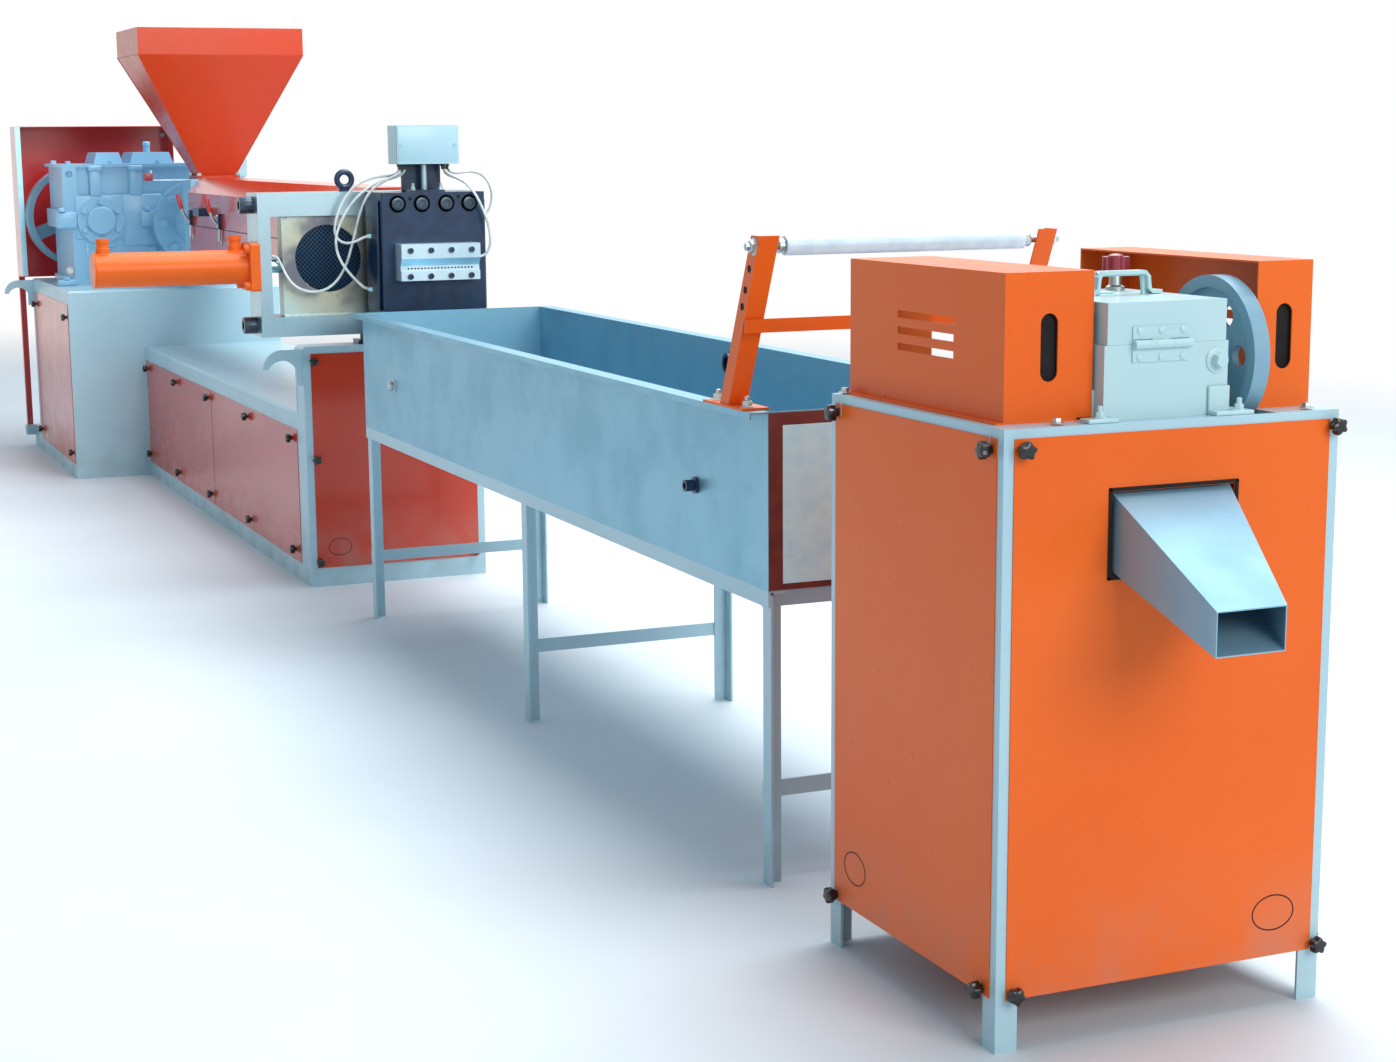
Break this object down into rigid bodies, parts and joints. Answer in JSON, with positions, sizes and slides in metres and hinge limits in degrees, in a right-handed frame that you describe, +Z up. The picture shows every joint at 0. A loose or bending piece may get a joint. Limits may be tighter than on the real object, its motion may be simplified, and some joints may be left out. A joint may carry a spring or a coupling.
{
  "type": "plastic extruder line",
  "caption": "Single-screw plastic extruder with gearbox, hopper, slide screen changer and strand die, its open cooling trough and its strand pelletizer, as one production line.",
  "frame": {"origin": "on the floor, on the underside of the barrel bed, midway along the bed and below the screw's centre line", "axes": "+X is the way the plastic flows, from the gearbox to the pelletizer, -Y is the operator's side, +Z is up"},
  "size_m": [8.87, 1.42, 1.909],
  "materials": {
    "enamel_grey": "pale grey-green machine enamel, semi-gloss",
    "panel_red": "red sheet enamel, glossy",
    "enamel_orange": "bright orange-red powder coat, semi-gloss",
    "gearbox_enamel": "light grey-blue paint over rough casting",
    "black_steel": "black oxide",
    "bright_steel": "ground bright steel",
    "sheet_steel": "mill-finish stainless sheet",
    "machined_steel": "turned and painted cast wheel",
    "white_nylon": "white nylon",
    "red_knob": "red moulded plastic",
    "white_sleeve": "white glass-fibre sleeve"
  },
  "bodies": {
    "line": {"barrel_bed": "enamel_grey", "die_end_stand": "enamel_grey", "gearbox_pedestal": "enamel_grey", "pedestal_skid": "enamel_grey", "lifting_hooks": "enamel_grey", "trough_rails": "enamel_grey", "trough_legs": "enamel_grey", "trough_ties": "enamel_grey", "cabinet_posts": "enamel_grey", "cabinet_rails": "enamel_grey", "cabinet_table": "enamel_grey", "cutter_housing": "enamel_grey", "terminal_box": "enamel_grey", "extruder_panels": "panel_red", "belt_guard": "panel_red", "belt_guard_legs": "panel_red", "hood_upper": "panel_red", "hood_lower": "panel_red", "cabinet_panels": "panel_red", "front_panel": "enamel_orange", "near_guard": "enamel_orange", "far_guard": "enamel_orange", "hopper": "enamel_orange", "hopper_rim": "enamel_orange", "hydraulic_cylinder": "enamel_orange", "roller_arms": "enamel_orange", "arm_crossbar": "enamel_orange", "gearbox_lower": "gearbox_enamel", "gearbox_upper": "gearbox_enamel", "bearing_cap": "gearbox_enamel", "thrust_housing": "gearbox_enamel", "feed_throat": "gearbox_enamel", "die_block": "black_steel", "hood_latches": "black_steel", "barrel_support": "black_steel", "lifting_eye": "black_steel", "changer_body": "bright_steel", "changer_frame": "bright_steel", "strand_die": "bright_steel", "terminal_stand": "bright_steel", "roller_axle": "bright_steel", "barrel": "bright_steel", "water_tank": "sheet_steel", "outlet_chute": "sheet_steel", "wire_block_upper": "white_sleeve", "wire_block_lower": "white_sleeve", "wire_changer_side": "white_sleeve", "wire_die_right": "white_sleeve", "wire_block_right": "white_sleeve"},
    "main_drive": {"main_pulley": "gearbox_enamel"},
    "screen_slide": {"slide_plate": "bright_steel", "breaker_plates": "black_steel", "slide_ram": "bright_steel"},
    "hopper_shutter": {"hopper_gate": "bright_steel"},
    "tension_roller": {"guide_roller": "white_nylon"},
    "cutter": {"cutter_rotor": "machined_steel", "flywheel": "machined_steel", "near_pulley": "machined_steel"},
    "lid": {"cutter_lid": "enamel_grey", "pressure_knob": "red_knob"}
  },
  "joints": [
    {"name": "main_pulley_spin", "type": "hinge", "parent": "line", "child": "main_drive", "pos_m": [-2.5, -0.398, 1.101], "axis": [1, 0, 0], "continuous": true},
    {"name": "screen_change", "type": "slide", "parent": "line", "child": "screen_slide", "axis": [0, 1, 0], "range_m": [0, 0.28]},
    {"name": "hopper_gate_slide", "type": "slide", "parent": "line", "child": "hopper_shutter", "axis": [0, -1, 0], "range_m": [0, 0.1]},
    {"name": "roller_spin", "type": "hinge", "parent": "line", "child": "tension_roller", "pos_m": [4.92, 0, 1.242], "axis": [0, 1, 0], "continuous": true},
    {"name": "cutter_spin", "type": "hinge", "parent": "line", "child": "cutter", "pos_m": [5.67, 0, 1.085], "axis": [0, 1, 0], "continuous": true},
    {"name": "lid_hinge", "type": "hinge", "parent": "line", "child": "lid", "pos_m": [5.7923, 0.026, 1.117], "axis": [0, 1, 0], "range_deg": [0, 100]}
  ]
}
